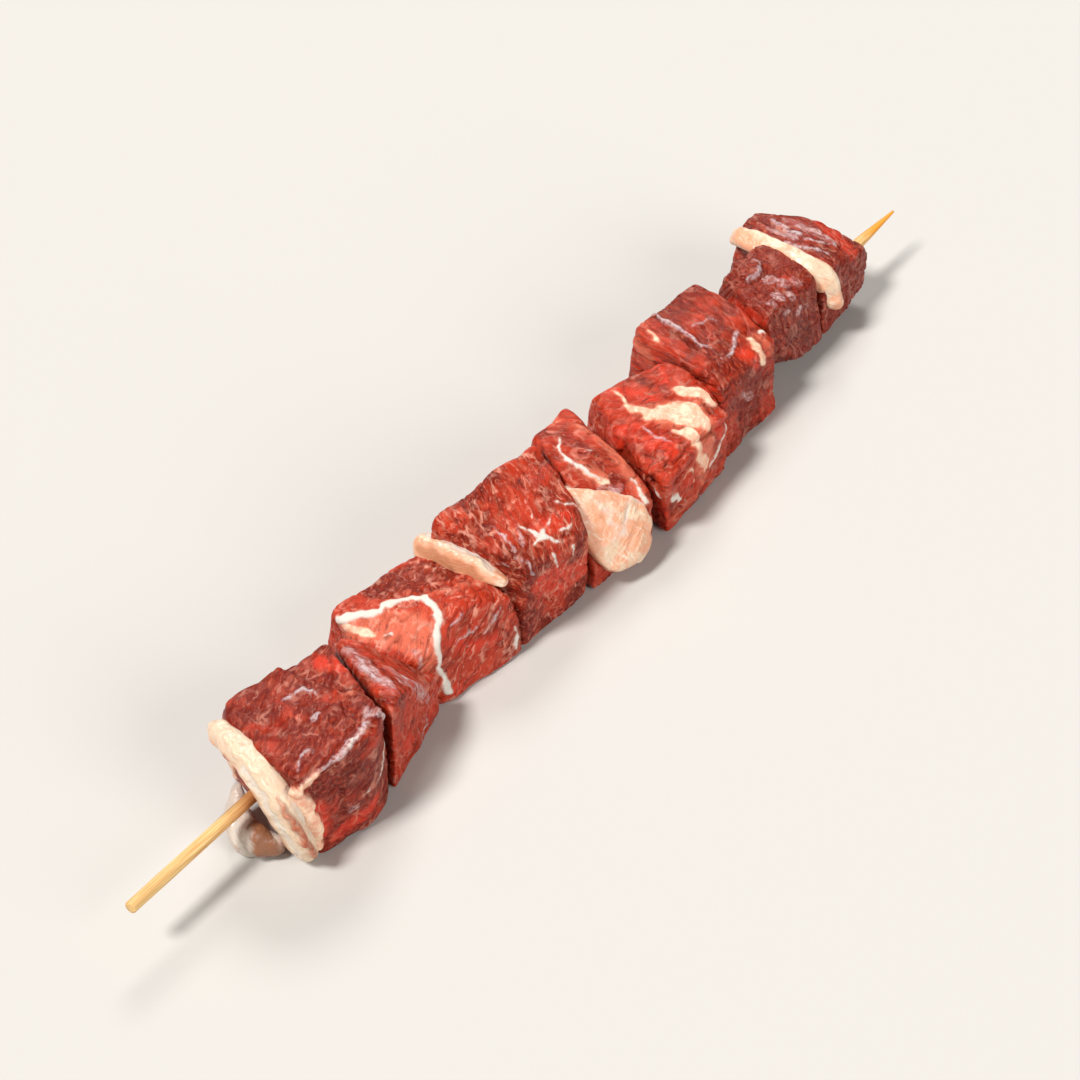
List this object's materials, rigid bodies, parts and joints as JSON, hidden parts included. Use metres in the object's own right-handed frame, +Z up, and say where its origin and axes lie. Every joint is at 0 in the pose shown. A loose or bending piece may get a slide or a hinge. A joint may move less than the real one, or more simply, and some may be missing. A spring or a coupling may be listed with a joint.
{
  "type": "lamb shish kebab skewer",
  "caption": "Raw diced lamb and strips of fat pushed onto a pointed bamboo skewer, ready to grill, lying on its side.",
  "frame": {"origin": "middle of the skewer's bounding box, on the plane it rests on", "axes": "+X along the stick from its blunt end to its point, +Z up from the plane it rests on, +Y to the side that faced away from the camera"},
  "size_m": [0.3, 0.0444, 0.0326],
  "materials": {
    "lean": "moist",
    "fat": "waxy",
    "bamboo": "raw"
  },
  "bodies": {
    "root": {"lamb_1": "lean", "lamb_2": "lean", "lamb_3": "lean", "lamb_4": "lean", "lamb_5": "lean", "lamb_6": "lean", "lamb_7": "lean", "lamb_8": "lean", "lamb_9": "lean", "fat_1": "fat", "fat_2": "fat", "fat_3": "fat", "fat_4": "fat", "fat_5": "fat", "stick": "bamboo"}
  },
  "joints": []
}
